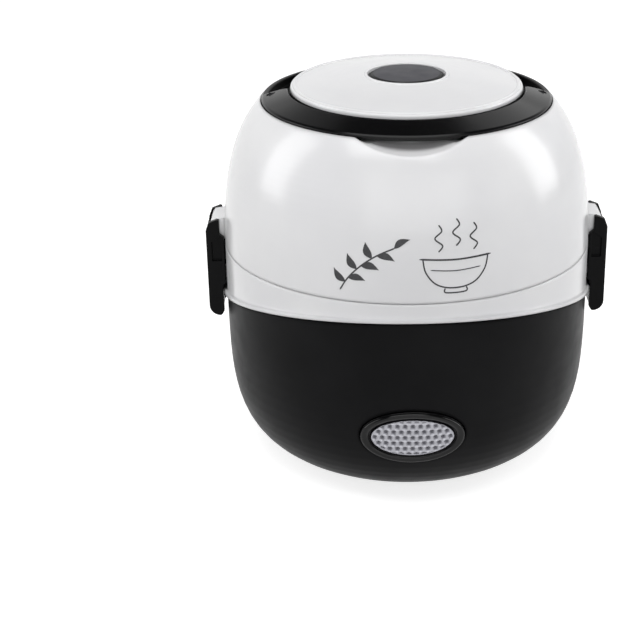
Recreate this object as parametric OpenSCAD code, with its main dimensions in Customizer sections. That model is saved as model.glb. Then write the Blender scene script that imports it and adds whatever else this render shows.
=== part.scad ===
// Electric lunch box: a round warming cooker with a lift-off lid held by two
// side clips. Millimetres, +Z up, front towards -Y, origin on the table under
// the middle of the body.

/* [Casing outline] */
// Largest outer radius of the casing
body_r = 84.1; // [80:0.1:92]
// Height of the parting line between base and lid
parting_z = 102.5; // [98:0.5:110]
// How far the widest point lies below the parting line
belly_drop = 10; // [6:0.5:14]
// Height above the widest point at which the lid outline would close
lid_reach = 91.9; // [87:0.1:98]
// How long the lid side stays upright before it turns in
lid_bend = 2.88; // [2.6:0.02:3.2]
// How square the lid shoulder is
lid_round = 3.36; // [3:0.02:3.8]
// Depth below the casing bottom at which the base outline would close
base_close = 2.5; // [1.5:0.1:4]
// How long the base side stays upright before it turns in
base_bend = 4.87; // [4.2:0.01:5.4]
// How square the base corner is
base_round = 4.04; // [3.6:0.01:4.6]
// Wall of the black base casing
base_wall = 2.4; // [2:0.1:3]
// Wall of the white collar on the base
collar_wall = 2.4; // [2:0.1:2.8]
// Wall of the lid casing
lid_wall = 2.6; // [2:0.1:3.2]
// Width of the shadow line between lid and base
parting_gap = 0.4; // [0.2:0.1:0.8]

/* [Colour seam] */
// Drop of the seam below the parting line at front and rear
seam_front_drop = 8.5; // [7.5:0.5:12]
// Drop of the seam below the parting line at the two sides
seam_side_drop = 26; // [22:0.5:30]
// Softness of the turn that the seam makes at the sides
seam_soft = 6; // [3:0.5:12]
// Height of the raised lip along the lower edge of the collar
lip_h = 1.8; // [1:0.1:2.5]
// How far that lip stands out
lip_out = 1.3; // [0.8:0.1:1.6]
// Shadow gap under the lip
seam_gap = 0.6; // [0.3:0.1:1]
// How far the casing's tongue reaches up behind the collar
tongue_h = 3; // [2:0.1:3]
// Thickness of the tongue
tongue_t = 2; // [1.4:0.1:2.4]

/* [Lid top] */
// How far the recess for the black ring lies inside the casing's largest radius
recess_inset = 18.6; // [17:0.1:23]
// Depth of that recess
recess_d = 5; // [4.5:0.1:6]
// Thickness of the floor of the black ring
ring_floor_t = 2.5; // [2:0.1:3]
// Width of the recess between its edge and the white centre disc
recess_w = 13.6; // [12.6:0.1:16.5]
// Height of the centre disc's edge above the casing's rim
centre_edge_up = 6.3; // [5.8:0.1:7]
// Rise of the centre disc from its edge to its middle
centre_crown = 4.7; // [3.5:0.1:6]
// Wall of the centre disc
centre_wall = 2; // [1.6:0.1:2.4]
// Thickness of the upright wall inside the black ring
ring_wall_t = 2.8; // [2.4:0.1:3.2]
// Width of the raised rim at the rear of the black ring
ring_rim_w = 2.4; // [1.6:0.1:3]
// Height of that raised rim above the casing's rim
ring_rim_up = 1.1; // [0.6:0.1:1.6]
// Radius of the hole in the deck under the centre disc
deck_hole_r = 20; // [12:1:30]
// Radius of the ball that hollows the finger scoop under the handle
scoop_ball_r = 58.9; // [50:0.1:66]
// How far the scoop's lowest point lies outside the recess's edge
scoop_out = 5.4; // [4:0.1:6.5]
// Depth of the scoop below the casing's rim
scoop_d = 5.8; // [5:0.1:6.4]
// Thickness of the scoop's dish
scoop_wall = 2.2; // [1.8:0.1:2.6]

/* [Carry handle] */
// Clearance between the half-ring handle's edge and the recess's edge
handle_clear = 0.5; // [0.4:0.1:1]
// Clearance between the handle and the centre disc's ring wall
handle_gap = 0.7; // [0.5:0.1:1.2]
// Air under the handle above the black ring's floor
handle_lift = 0.9; // [0.5:0.1:1.2]
// Height of the handle's outer edge
handle_edge_h = 0.7; // [0.4:0.1:1.2]
// How far the pivot lies in front of the middle
handle_pivot_y = 2.8; // [2:0.1:4]
// Radius of the rounded handle ends about the pivot
handle_end_r = 3.2; // [2.8:0.1:3.4]
// Radius of the steel pivot pins
handle_pin_r = 1.5; // [1.2:0.1:1.8]
// Running clearance of every hinge pin in its bore
pin_clearance = 0.05; // [0.02:0.01:0.1]

/* [Vent] */
// Radius of the opening in the centre disc
vent_open_r = 17.4; // [15:0.1:20]
// Shadow gap round the vent cap
vent_gap = 1.5; // [0.8:0.1:2]
// Depth of the pocket that the vent cap lies in
vent_pocket_d = 3.3; // [2.8:0.1:4]
// Radius of the vent cap's stem
vent_stem_r = 4; // [3:0.1:5]
// Length of the stem below the cap
vent_stem_l = 5; // [3:0.5:8]

/* [Side clips] */
// Width of a clip along the casing
clip_w = 22; // [20:0.5:28]
// How far a clip's outer face stands beyond the casing's largest radius
clip_stand = 8; // [7.4:0.1:9]
// Length of a clip below its hinge
clip_drop = 44.5; // [40:0.1:48]
// Height of the hinge above the parting line
hinge_up = 9; // [7:0.1:11]
// How far the hinge lies beyond the casing's largest radius
hinge_out = 4.2; // [3.2:0.1:5]
// Radius of the clip hinge pins
clip_pin_r = 0.9; // [0.8:0.05:1.1]
// Height of a clip above its hinge
clip_head_h = 2.6; // [2.2:0.1:2.8]
// Thickness of a clip's outer plate
clip_plate_t = 1.2; // [1:0.1:1.3]
// Thickness of a clip's two cheeks
cheek_t = 2.4; // [2:0.1:3]
// Height of the solid finger tab at the clip's foot
clip_tab_h = 7.5; // [5:0.5:10]
// Gap between a clip's cheeks and the casing
cheek_gap = 0.4; // [0.3:0.1:1]
// Clearance between a clip's cheeks and the hinge lug between them
lug_gap = 0.4; // [0.3:0.1:0.8]
// Height of the hinge lug above the hinge
lug_h = 2.2; // [1.8:0.1:2.8]
// Drop of the catch below the parting line
catch_drop = 18.5; // [16:0.5:21]
// How far the catch stands out from the casing
catch_out = 1.8; // [1.4:0.1:2.2]
// How much of the catch the clip's hook covers
hook_bite = 1; // [0.6:0.1:1.2]
// Air between hook and catch
hook_gap = 0.4; // [0.3:0.05:0.6]

/* [Base underside] */
// Height of the rubber feet, which is the casing's height off the table
foot_h = 1.5; // [1:0.1:3]
// Radius of the rubber feet
foot_r = 6; // [4:0.5:8]
// Distance of the feet's middles inside the bottom cover's edge
foot_inset = 9.4; // [8.5:0.1:12]
// Width of the casing's foot ring round the bottom cover
foot_ring_w = 3.3; // [2.4:0.1:5]
// Thickness of the bottom cover
cover_t = 2.4; // [2:0.1:3]
// Length of the air slots in the bottom cover
slot_l = 18; // [12:1:24]
// Width of an air slot
slot_w = 2; // [1.4:0.1:2.6]
// Distance from one air slot to the next
slot_pitch = 6; // [5:0.5:6.5]
// Air slots on each side of the middle one
slot_rows = 3; // [1:1:4]
// Width of the ledge that the cover lies against
ledge_w = 8.9; // [8.4:0.1:11]
// Distance of the cover screws inside the cover's edge
cover_screw_inset = 4.4; // [4:0.1:5.4]
// Height of the screw bosses
boss_h = 11; // [8:0.5:13]
// Radius of the screw bosses
boss_r = 3.4; // [3:0.1:3.8]
// Radius of the screw shanks
screw_r = 1.25; // [1:0.05:1.5]

/* [Heating well and bowl] */
// Height of the electrical space between bottom cover and well
bay_h = 25.7; // [25:0.1:28]
// Sheet thickness of the well
well_t = 1.4; // [1:0.1:2]
// How far the bowl's wall lies inside the casing's largest radius
bowl_inset = 16.6; // [15:0.1:19]
// Height of the bowl
bowl_h = 88; // [80:1:94]
// Radius of the bowl's bottom corner
bowl_corner = 25; // [20:0.5:28]
// Sheet thickness of the bowl
bowl_t = 0.8; // [0.6:0.1:1.2]
// How far the bowl's rim stands out from its wall
bowl_rim = 3.7; // [2.5:0.1:4.5]
// Space between bowl and well
well_gap = 2.4; // [1.8:0.1:3]
// Radius of the raised ring that the bowl stands on
seat_r = 27; // [22:1:34]
// Width of that ring
seat_w = 3; // [2:0.5:4]
// Depth of the well's flange below the parting line
flange_drop = 1.3; // [1.1:0.1:1.6]
// Thickness of the gasket under the flange
gasket_t = 0.8; // [0.5:0.1:1]

/* [Inner lid and cup] */
// How far the bowl's rim shows round the inner lid
inner_lid_inset = 0.7; // [0.3:0.1:1.5]
// Wall of the inner lid
inner_lid_t = 1.6; // [1.2:0.1:2]
// Height of the inner lid's knob ring above its flange
knob_h = 10.5; // [8:0.5:13]
// Height of the measuring cup
cup_h = 42; // [34:1:46]
// Outer radius of the cup under its bead
cup_top_r = 27; // [24:0.5:30]
// Outer radius of the cup's base
cup_base_r = 11; // [9:0.5:14]
// Wall of the cup
cup_t = 1.2; // [1:0.1:1.6]
// Radius of the bead round the cup's rim
cup_bead = 1; // [0.8:0.1:1.4]

/* [Front button] */
// Height of the button's middle above the table
button_z = 39.4; // [38:0.1:41]
// Half width of the silver lens
lens_a = 18; // [15:0.1:20]
// Half height of the silver lens
lens_b = 8.9; // [7:0.1:10]
// Width of the black frame beside the lens
frame_w = 4.4; // [3.5:0.1:5]
// Width of the black frame above and below the lens
frame_h = 3.6; // [2.8:0.1:4.4]
// How far the frame's face stands proud of the casing
frame_rise = 0.6; // [0.2:0.1:1]
// Width of the groove between the frame and the casing
frame_gap = 0.5; // [0.3:0.1:0.8]
// Width of the step down round the lens
frame_step = 0.6; // [0.4:0.1:1]
// How far the lens stands proud of the casing
lens_rise = 0.4; // [0.2:0.1:0.8]
// Clearance between lens and frame
lens_gap = 0.35; // [0.3:0.05:0.5]
// Travel of the button
button_travel = 1.5; // [1:0.1:2]
// Distance of the switch board behind the casing surface
board_in = 13.1; // [12.6:0.1:15]

/* [Mains inlet] */
// Height of the inlet's middle above the table
inlet_z = 18.8; // [18.6:0.1:19.2]
// Width of the inlet's body
inlet_w = 27; // [26:0.5:28]
// Height of the inlet's body
inlet_h = 19.6; // [19:0.1:20]
// Depth of the inlet's body behind the panel
inlet_d = 18; // [16:0.5:18]
// Width of the inlet's flange beyond its body
inlet_flange = 2; // [1.6:0.1:2.2]
// Distance of the niche's back panel inside the casing's largest radius
panel_in = 22.1; // [21:0.1:23]

/* [Heater] */
// Width of the well's flat floor left bare round the heat spreader
spreader_inset = 2.5; // [1.5:0.5:6]
// Thickness of the heat spreader
spreader_t = 3; // [2:0.1:4]
// Length of the heating element
element_l = 50; // [40:1:54]
// Width of the heating element
element_w = 30; // [24:1:32]
// Thickness of the heating element
element_t = 5; // [4:0.5:6]
// Radius of the thermostat's cap
thermostat_r = 8; // [7:0.5:9]
// Distance of thermostat and fuse from the middle
sensor_at = 27; // [26:0.5:28]

/* [Hidden] */
$fn = 96;

white = "#e4e5e7";
black = "#232325";
silver = "#c4c5ca";
eps = 0.01;
rest_gap = 0.2;      // air under a loose piece that stands on another
curve_n = 22;        // steps along a casing outline

belly_z = parting_z - belly_drop;
base_reach = belly_z - foot_h + base_close;

// Outer radius of the casing at a height, and the height for a radius
function side(t, bend, round) = pow(max(0, 1 - pow(min(1, t), bend)), 1 / round);
function outer_r(z) = body_r * (z >= belly_z
    ? side((z - belly_z) / lid_reach, lid_bend, lid_round)
    : side((belly_z - z) / base_reach, base_bend, base_round));
function lid_z(r) = belly_z
    + lid_reach * pow(1 - pow(r / body_r, lid_round), 1 / lid_bend);

// Points on the outline, moved in by inset and sampled shift further along,
// close together where the outline turns fastest
function lid_line(z0, z1, inset = 0, shift = 0) = [
    for (i = [0:curve_n])
        let (z = z0 + (z1 - z0) * (1 - pow(1 - i / curve_n, 1.7)))
        [outer_r(z + shift) - inset, z]];
function base_line(z0, z1, inset = 0, shift = 0) = [
    for (i = [0:curve_n])
        let (z = z0 + (z1 - z0) * pow(i / curve_n, 2))
        [outer_r(z - shift) - inset, z]];
function reversed(list) = [for (i = [len(list) - 1:-1:0]) list[i]];
function arc(cx, cy, r, a0, a1, n = 9) = [
    for (i = [0:n]) let (a = a0 + (a1 - a0) * i / n) [cx + r * cos(a), cy + r * sin(a)]];

// Height of the colour seam at a distance y from the side-to-side axis
function soft(y) = sqrt(y * y + seam_soft * seam_soft) - seam_soft;
function seam_z(y) = parting_z - seam_side_drop
    + (seam_side_drop - seam_front_drop) * soft(y) / soft(body_r);

recess_r = body_r - recess_inset;
centre_r = recess_r - recess_w;
handle_r = recess_r - handle_clear;
bowl_r = body_r - bowl_inset;
inner_lid_r = bowl_r + bowl_rim - inner_lid_inset;
panel_y = body_r - panel_in;
cover_r = outer_r(foot_h) - foot_ring_w;
ledge_r = cover_r - ledge_w;
cover_screw_at = cover_r - cover_screw_inset;
foot_at = cover_r - foot_inset;

far = body_r * 1.2;
seam_low = seam_z(0);
seam_high = seam_z(far);
base_top = foot_h + cover_t;
ledge_t = 2.4;

module spin(points) { rotate_extrude() polygon(points); }
// A shape drawn in Y and Z, extruded to both sides along X
module along_x(w) { rotate([90, 0, 90]) linear_extrude(w, center = true) children(); }
// A shape drawn in X and Z, extruded to both sides along Y
module along_y(w) { rotate([90, 0, 0]) linear_extrude(w, center = true) children(); }
module block(x0, x1, y0, y1, z0, z1) {
    translate([x0, y0, z0]) cube([x1 - x0, y1 - y0, z1 - z0]);
}
// A rod along +Y from y0 to y1
module rod_y(x, z, y0, y1, r) {
    translate([x, y0, z]) rotate([-90, 0, 0]) cylinder(h = y1 - y0, r = r);
}
// Everything above the seam surface, raised by shift
module above_seam(shift) {
    n = 12;
    along_x(2 * far) polygon(concat(
        [for (i = [-n:n]) let (y = far * sign(i) * pow(abs(i) / n, 1.8))
            [y, seam_z(y) + shift]],
        [[far, parting_z + far], [-far, parting_z + far]]));
}

// ---------------------------------------------------------------- base

lap = collar_wall + rest_gap + tongue_t;    // casing wall behind the collar
lap_drop = 14;                              // from the seam's lowest point to the lap
lap_z = seam_low - lap_drop;
cover_gap = 0.6;
niche_w = inlet_w + 2 * inlet_flange + 3;
niche_h = inlet_h + 2 * inlet_flange + 2.2;
niche_wall = 2.2;
niche_z0 = inlet_z - niche_h / 2;
niche_z1 = inlet_z + niche_h / 2 + 0.6;
post_x = 28;
post_r = 2.6;
post_hole_d = 4.5;
post_hole_r = 1;
board_t = 1.6;
board_z = button_z - 0.4;
board_y = outer_r(board_z) - board_in;      // front face of the switch board
prism_l = 26;                               // length of the prisms through the wall

module oval(a, b) {
    n = 44;
    polygon([for (i = [0:n - 1]) [a * cos(i * 360 / n), b * sin(i * 360 / n)]]);
}
// An upright oval prism through the front wall at the button
module button_prism(a, b) {
    translate([0, prism_l / 2 - body_r - 7, button_z]) along_y(prism_l) oval(a, b);
}
// A band behind the button's front between two depths below the casing surface.
// Its back follows the wall's inner face, and so does its front when that is inside.
module wall_band(inset0, inset1) {
    z0 = button_z - lens_b - 3 * frame_h;
    z1 = button_z + lens_b + 3 * frame_h;
    n = 10;
    band = function (inset) let (shift = inset < base_wall ? 0 : base_wall)
        [for (i = [0:n]) let (z = z0 + (z1 - z0) * i / n) [outer_r(z - shift) - inset, z]];
    spin(concat(band(inset0), reversed(band(inset1))));
}

module cover_screw_places() {
    for (a = [45:90:315]) rotate(a) translate([cover_screw_at, 0, 0]) children();
}

module base_wall_shape() {
    top = seam_high + 1;
    spin(concat(
        [[cover_r + cover_gap, foot_h]],
        base_line(foot_h, top),
        [[outer_r(top) - lap, top], [outer_r(lap_z) - lap, lap_z],
         [outer_r(lap_z - 4) - base_wall, lap_z - 4]],
        reversed(base_line(base_top + ledge_t, lap_z - 4, base_wall, base_wall)),
        [[ledge_r, base_top + ledge_t], [ledge_r, base_top],
         [cover_r + cover_gap, base_top]]));
}

module tongue_shape() {
    top = seam_high + tongue_h + 1;
    spin(concat(
        [for (z = [lap_z, belly_z, top]) [outer_r(z) - lap + tongue_t, z]],
        [for (z = [top, belly_z, lap_z]) [outer_r(z) - lap, z]]));
}

module niche_walls() {
    intersection() {
        block(-niche_w / 2 - niche_wall, niche_w / 2 + niche_wall,
            panel_y - niche_wall, far, base_top, niche_z1 + niche_wall);
        spin(concat([[0, foot_h]], base_line(foot_h, lap_z), [[0, lap_z]]));
    }
}

module base_shell() {
    post_end = sqrt(pow(outer_r(board_z) - base_wall / 2, 2) - post_x * post_x);
    color(black) difference() {
        union() {
            difference() {
                base_wall_shape();
                above_seam(-seam_gap);
            }
            difference() {
                tongue_shape();
                above_seam(tongue_h);
            }
            niche_walls();
            cover_screw_places() translate([0, 0, base_top]) cylinder(h = boss_h, r = boss_r);
            for (side = [-1, 1]) rod_y(side * post_x, board_z, -post_end, -board_y, post_r);
        }
        block(-niche_w / 2, niche_w / 2, panel_y, far, niche_z0, niche_z1);
        block(-inlet_w / 2 - rest_gap, inlet_w / 2 + rest_gap, panel_y - 2 * niche_wall,
            panel_y + 1, inlet_z - inlet_h / 2 - rest_gap, inlet_z + inlet_h / 2 + rest_gap);
        button_prism(frame_a + frame_gap, frame_b + frame_gap);
        cover_screw_places() translate([0, 0, base_top - 1]) cylinder(h = boss_h, r = screw_r);
        for (side = [-1, 1])
            rod_y(side * post_x, board_z, -board_y - post_hole_d, -board_y + 1, post_hole_r);
    }
}

flange_z = parting_z - flange_drop;         // top of the well's flange
ledge_top = flange_z - well_t - gasket_t;   // collar ledge that carries it
collar_ledge_t = 1.8;
collar_in = outer_r(parting_z) - collar_wall;

module base_collar() {
    top = parting_z - parting_gap / 2;
    n = 5;
    zs = [for (i = [0:n]) seam_low - 1 + (top - seam_low + 1) * i / n];
    lip_zs = [for (i = [0:n]) seam_low - 1 + (seam_high + lip_h + 2 - seam_low) * i / n];
    color(white) union() {
        difference() {
            spin(concat([for (z = zs) [outer_r(z), z]],
                [for (z = reversed(zs)) [outer_r(z) - collar_wall, z]]));
            difference() {
                cylinder(h = 2 * far, r = 2 * far, center = true);
                above_seam(0);
            }
        }
        difference() {
            intersection() {
                spin(concat([for (z = lip_zs) [outer_r(z) + lip_out, z]],
                    [for (z = reversed(lip_zs)) [outer_r(z) - collar_wall / 2, z]]));
                above_seam(0);
            }
            above_seam(lip_h);
        }
        spin([[collar_in - 4.6, ledge_top - collar_ledge_t],
              [collar_in + 0.5, ledge_top - collar_ledge_t],
              [collar_in + 0.5, ledge_top], [collar_in - 4.6, ledge_top]]);
        for (side = [0, 1]) mirror([side, 0, 0]) catch_rib();
    }
}

catch_z = parting_z - catch_drop;
catch_w = clip_w - 2 * cheek_t - 5;

module catch_rib() {
    root = body_r - 1.2;
    along_y(catch_w) polygon([[root, catch_z], [body_r + catch_out, catch_z],
        [body_r + catch_out, catch_z + 1.2], [root, catch_z + 5]]);
}

well_bottom = base_top + bay_h;
well_floor = well_bottom + well_t;
bowl_z = well_floor + well_gap;             // underside of the bowl
corner_z = bowl_z + bowl_corner;
corner_r = bowl_r - bowl_corner;
well_in = bowl_r + well_gap;

module heating_well() {
    color("#c9c9cc") union() {
        spin(concat(
            [[0, well_bottom]],
            arc(corner_r, corner_z, bowl_corner + well_gap + well_t, -90, 0),
            [[well_in + well_t, flange_z - well_t], [collar_in - 0.4, flange_z - well_t],
             [collar_in - 0.4, flange_z], [well_in + 1, flange_z], [well_in, flange_z - 1]],
            arc(corner_r, corner_z, bowl_corner + well_gap, 0, -90),
            [[0, well_floor]]));
        spin([[seat_r - seat_w, well_floor - 0.5], [seat_r, well_floor - 0.5],
              [seat_r, bowl_z - rest_gap], [seat_r - seat_w, bowl_z - rest_gap]]);
    }
}

module well_gasket() {
    color("#d8d8d8") spin([[collar_in - 4.4, ledge_top], [collar_in - 0.6, ledge_top],
        [collar_in - 0.6, ledge_top + gasket_t], [collar_in - 4.4, ledge_top + gasket_t]]);
}

// --------------------------------------------------------------- heater

spreader_z = well_bottom - spreader_t;
spreader_r = corner_r - spreader_inset;
element_z = spreader_z - element_t;
bracket_t = 1.4;
bracket_w = 14;
bracket_in = element_l / 2 + 1.5;           // inside of the bracket's legs
bracket_foot = 8.5;
bracket_hole = bracket_in + bracket_t + bracket_foot / 2;

module heat_spreader() {
    color("#b9bbbe") difference() {
        translate([0, 0, spreader_z]) cylinder(h = spreader_t, r = spreader_r);
        for (side = [-1, 1]) translate([side * bracket_hole, 0, spreader_z - 1])
            cylinder(h = spreader_t, r = screw_r);
    }
}

lead_x = -element_l / 2 + 4.5;              // middle of the element's two leads
lead_y = element_w / 2 + 2;
lead_z = element_z + 2;                     // their underside

module heating_element() {
    color("#9a9ca0") union() {
        block(-element_l / 2, element_l / 2, -element_w / 2, element_w / 2, element_z, spreader_z);
        for (side = [-1, 1]) block(lead_x - 1.5, lead_x + 1.5,
            side * lead_y - 2.5, side * lead_y + 2.5, lead_z, lead_z + 1);
    }
}

module element_bracket() {
    low = element_z - bracket_t;
    foot = spreader_z - bracket_t;
    out = bracket_in + bracket_t;
    color("#aeb0b4") difference() {
        along_y(bracket_w) polygon([
            [-out, low], [out, low], [out, foot], [out + bracket_foot, foot],
            [out + bracket_foot, spreader_z], [bracket_in, spreader_z], [bracket_in, element_z],
            [-bracket_in, element_z], [-bracket_in, spreader_z], [-out - bracket_foot, spreader_z],
            [-out - bracket_foot, foot], [-out, foot]]);
        for (side = [-1, 1]) translate([side * bracket_hole, 0, foot - 1])
            cylinder(h = bracket_t + 2, r = screw_r + 0.3);
    }
}

module bracket_screws() {
    head_z = spreader_z - bracket_t;
    color("#d0d0d2") for (side = [-1, 1]) translate([side * bracket_hole, 0, 0]) {
        translate([0, 0, head_z - 1.8]) cylinder(h = 1.8, r = 2.6);
        translate([0, 0, head_z - eps]) cylinder(h = bracket_t + spreader_t - 1, r = screw_r);
    }
}

thermostat_cap = 3.6;
thermostat_z = spreader_z - thermostat_cap - thermostat_r;     // foot of its body
tab_x = thermostat_r / 2;
tab_z = thermostat_z - tab_x;               // foot of its two tabs

module thermostat() {
    color("#3a3a3c") translate([0, sensor_at, 0]) {
        translate([0, 0, spreader_z - thermostat_cap])
            cylinder(h = thermostat_cap, r = thermostat_r);
        translate([0, 0, thermostat_z]) cylinder(h = thermostat_r + eps, r = thermostat_r - 1.5);
        for (side = [-1, 1]) block(side * tab_x - 0.4, side * tab_x + 0.4, -3, 3,
            tab_z, thermostat_z + eps);
    }
}

fuse_r = 2;
fuse_l = 14;
fuse_z = spreader_z - fuse_r - 0.8;

module thermal_fuse() {
    color("#e8e0d0") translate([0, -sensor_at, fuse_z]) rotate([0, 90, 0])
        cylinder(h = fuse_l, r = fuse_r, center = true);
}

module fuse_clip() {
    color("#aeb0b4") difference() {
        block(-2.5, 2.5, -sensor_at - 4, -sensor_at + 4, fuse_z - fuse_r - 0.8, spreader_z);
        translate([0, -sensor_at, fuse_z]) rotate([0, 90, 0])
            cylinder(h = 8, r = fuse_r, center = true);
    }
}

// ------------------------------------------------------------ underside

head_r = 2.6;
head_h = 1.4;
head_sink = 1.6;
foot_plug_r = 2;
foot_plug_h = 1.6;

module foot_places() {
    for (a = [0:90:270]) rotate(a) translate([foot_at, 0, 0]) children();
}

module bottom_cover() {
    color(black) difference() {
        translate([0, 0, foot_h]) cylinder(h = cover_t, r = cover_r);
        cover_screw_places() {
            translate([0, 0, foot_h - 1]) cylinder(h = cover_t + 2, r = screw_r + 0.3);
            translate([0, 0, foot_h - 1]) cylinder(h = head_sink + 1, r = head_r + 0.3);
        }
        foot_places() translate([0, 0, foot_h - 1]) cylinder(h = 1 + foot_plug_h, r = foot_plug_r);
        for (i = [-slot_rows:slot_rows]) translate([i * slot_pitch, 0, 0])
            block(-slot_w / 2, slot_w / 2, -slot_l / 2, slot_l / 2, foot_h - 1, base_top + 1);
    }
}

module cover_screws() {
    seat = foot_h + head_sink;
    color("#c8c8ca") cover_screw_places() {
        difference() {
            translate([0, 0, seat - head_h]) cylinder(h = head_h, r = head_r);
            for (turn = [0, 90]) rotate(turn) translate([0, 0, seat - head_h])
                cube([1.3 * head_r, head_r / 4, head_h], center = true);
        }
        translate([0, 0, seat - eps]) cylinder(h = cover_t - head_sink + boss_h - 2, r = screw_r);
    }
}

module rubber_feet() {
    color("#2b2b2b") foot_places() {
        difference() {
            cylinder(h = foot_h, r = foot_r);
            difference() {
                cylinder(h = foot_h, r = 0.7 * foot_r, center = true);
                cylinder(h = 2 * foot_h, r = 0.5 * foot_r, center = true);
            }
        }
        translate([0, 0, foot_h - eps]) cylinder(h = foot_plug_h, r = foot_plug_r);
    }
}

// ---------------------------------------------------------- mains inlet

inlet_wall = 1.3;
blade_w = 2;
blade_h = 4;
blade_pitch = 7;
// x and z of the earth, live and neutral blades from the inlet's middle
blade_places = [[0, 3], [blade_pitch, -1], [-blade_pitch, -1]];
inlet_back = panel_y - inlet_d;
blade_tail = 5;                             // length of blade behind the inlet

module inlet_body() {
    w = inlet_w / 2;
    h = inlet_h / 2;
    cut = 4;
    color("#1c1c1e") translate([0, 0, inlet_z]) difference() {
        union() {
            block(-w, w, inlet_back, panel_y, -h, h);
            block(-w - inlet_flange, w + inlet_flange, panel_y, panel_y + 2,
                -h - inlet_flange, h + inlet_flange);
        }
        translate([0, panel_y + 2 - inlet_d / 2 + 2, 0]) along_y(inlet_d) polygon([
            [-w + inlet_wall, -h + inlet_wall], [w - inlet_wall, -h + inlet_wall],
            [w - inlet_wall, h - inlet_wall - cut], [w - inlet_wall - cut, h - inlet_wall],
            [-w + inlet_wall + cut, h - inlet_wall], [-w + inlet_wall, h - inlet_wall - cut]]);
        for (b = blade_places) block(b[0] - blade_w / 2, b[0] + blade_w / 2,
            inlet_back - 1, panel_y, b[1] - blade_h / 2, b[1] + blade_h / 2);
    }
}

module inlet_blades() {
    color(silver) translate([0, 0, inlet_z]) for (b = blade_places)
        block(b[0] - blade_w / 2, b[0] + blade_w / 2, inlet_back - blade_tail, panel_y - 2,
            b[1] - blade_h / 2, b[1] + blade_h / 2);
}

// Wires are smooth tubes swept through points between the parts that they join:
// inlet to thermostat, thermostat to board, board to fuse, fuse to heating
// element, heating element to inlet, and the earth wire to the heat spreader
wire_r = 0.9;
plug_y = inlet_back - blade_tail - 0.7;
plug_z = inlet_z + blade_places[1][1];
board_back = -board_y + board_t;
wires = [
    [[blade_pitch, plug_y, plug_z], [blade_pitch, plug_y - 4.3, plug_z - 1],
     [6.6, sensor_at + 5, tab_z], [5, sensor_at + 2.8, tab_z - 4.2],
     [tab_x, sensor_at + 0.4, tab_z - 0.7]],
    [[-tab_x, sensor_at - 0.4, tab_z - 0.9], [-5, sensor_at - 2.5, tab_z - 4.2],
     [-16, 6, 8], [-22, -22, 10], [-20, -44, 15], [-14, -60, 27],
     [-13, board_back + 5.5, board_z - 6], [-12, board_back + 0.8, board_z - 2]],
    [[12, board_back + 0.8, board_z - 2], [13, board_back + 5.5, board_z - 6],
     [15, -54, 22], [15, -40, 17], [12, -sensor_at - 1, fuse_z - 2.8],
     [fuse_l / 2 + 0.8, -sensor_at, fuse_z]],
    [[-fuse_l / 2 - 0.8, -sensor_at, fuse_z], [-12, -sensor_at - 0.5, fuse_z - 2.8],
     [-18, -25, 19], [lead_x, -lead_y - 3, lead_z - 4], [lead_x, -lead_y - 0.5, lead_z - 0.6]],
    [[lead_x, lead_y + 0.5, lead_z - 0.6], [lead_x, lead_y + 3, lead_z - 4], [-17, 26, 17],
     [-9, 31, plug_z - 1.3], [-blade_pitch, plug_y - 4, plug_z - 0.6],
     [-blade_pitch, plug_y, plug_z]],
    [[0, plug_y - 0.2, inlet_z + blade_places[0][1]], [-0.8, plug_y - 2.1, inlet_z + 2.8],
     [-8, 35.5, 20.5], [-14, 33.5, 21.5], [-16, 31.5, spreader_z - 0.8]]
];

function spline(p, i, t) =
    let (a = p[max(0, i - 1)], b = p[i], c = p[i + 1], d = p[min(len(p) - 1, i + 2)])
    b + (c - a) * t / 2 + (2 * a - 5 * b + 4 * c - d) * t * t / 2
      + (3 * b - a - 3 * c + d) * t * t * t / 2;
function route(p, steps = 4) = concat(
    [for (i = [0:len(p) - 2], k = [0:steps - 1]) spline(p, i, k / steps)], [p[len(p) - 1]]);
function unit(v) = v / norm(v);

module tube(path, r) {
    sides = 8;
    n = len(path);
    ring = function (i)
        let (t = unit(path[min(n - 1, i + 1)] - path[max(0, i - 1)]),
             u = unit(cross(t, [0.31, 0.52, 0.79])), v = cross(t, u))
        [for (j = [0:sides - 1]) path[i] + r * (cos(j * 360 / sides) * u + sin(j * 360 / sides) * v)];
    polyhedron(
        points = [for (i = [0:n - 1], q = ring(i)) q],
        faces = concat(
            [[for (j = [0:sides - 1]) j]],
            [for (i = [0:n - 2], j = [0:sides - 1]) let (k = (j + 1) % sides)
                [i * sides + j, (i + 1) * sides + j, (i + 1) * sides + k, i * sides + k]],
            [[for (j = [sides - 1:-1:0]) (n - 1) * sides + j]]));
}

module internal_wiring() {
    color("#b33a32") for (w = wires) tube(route(w), wire_r);
}

// --------------------------------------------------------- front button

frame_a = lens_a + lens_gap + frame_w;
frame_b = lens_b + lens_gap + frame_h;
frame_back = base_wall + rest_gap + 1.6;    // depth of the frame's back face
stem_r = 1.2;

module button_bezel() {
    color("#18181a") difference() {
        union() {
            intersection() {
                button_prism(frame_a, frame_b);
                wall_band(-frame_rise, frame_back);
            }
            intersection() {
                button_prism(frame_a + 2.2, frame_b + 2.2);
                wall_band(base_wall + rest_gap, frame_back);
            }
        }
        button_prism(lens_a + lens_gap, lens_b + lens_gap);
        intersection() {
            button_prism(lens_a + lens_gap + frame_step, lens_b + lens_gap + frame_step);
            wall_band(-2 * frame_rise, frame_step);
        }
    }
}

lens_flange = frame_back + 0.4;

module button_lens() {
    color(silver) union() {
        intersection() {
            button_prism(lens_a, lens_b);
            wall_band(-lens_rise, lens_flange + 0.5);
        }
        intersection() {
            button_prism(lens_a + 2, lens_b + 2);
            wall_band(lens_flange, lens_flange + 1.4);
        }
        rod_y(0, board_z, -outer_r(button_z) + lens_flange + 1, -switch_front + 0.5, stem_r);
    }
}

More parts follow.
